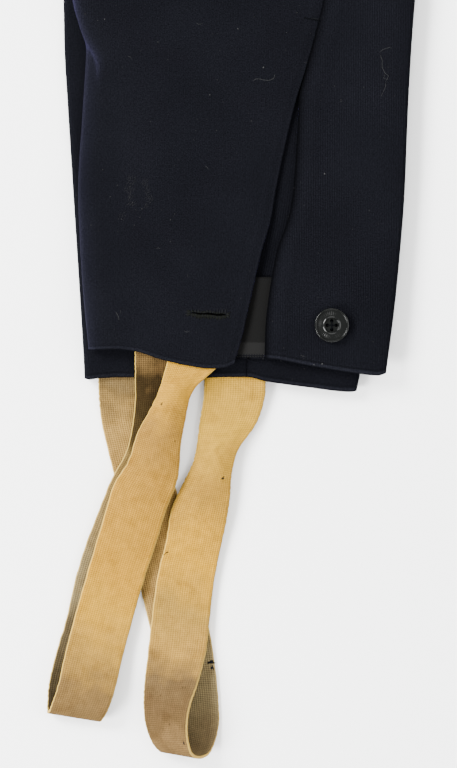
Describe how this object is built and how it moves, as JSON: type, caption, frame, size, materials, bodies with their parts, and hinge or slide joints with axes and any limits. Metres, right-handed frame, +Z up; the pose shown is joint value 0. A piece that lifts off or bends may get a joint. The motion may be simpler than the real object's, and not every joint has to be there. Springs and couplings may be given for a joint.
{
  "type": "riding breeches",
  "caption": "Dark navy ribbed-wool riding breeches laid flat in profile, with buttoned ankle vents and webbing stirrup straps sewn inside the hems.",
  "frame": {"origin": "under the middle of the laid-out garment's bounding box, on the surface it lies on", "axes": "+Y from the hems to the waistband, +X from the front folds to the back folds, +Z up from the surface"},
  "size_m": [0.4432, 1.2978, 0.019],
  "materials": {
    "navy_wool": "matte fine-ribbed wool",
    "webbing": "matte ribbed webbing",
    "cotton_facing": "matte plain cotton",
    "black_horn": "polished"
  },
  "bodies": {
    "root": {"left_front": "navy_wool", "left_back": "navy_wool", "right_front": "navy_wool", "right_back": "navy_wool", "waistband_left": "navy_wool", "waistband_right": "navy_wool", "left_hem_facing": "cotton_facing", "left_stirrup_strap": "webbing", "right_stirrup_strap": "webbing", "left_button": "black_horn", "right_button": "black_horn"}
  },
  "joints": []
}
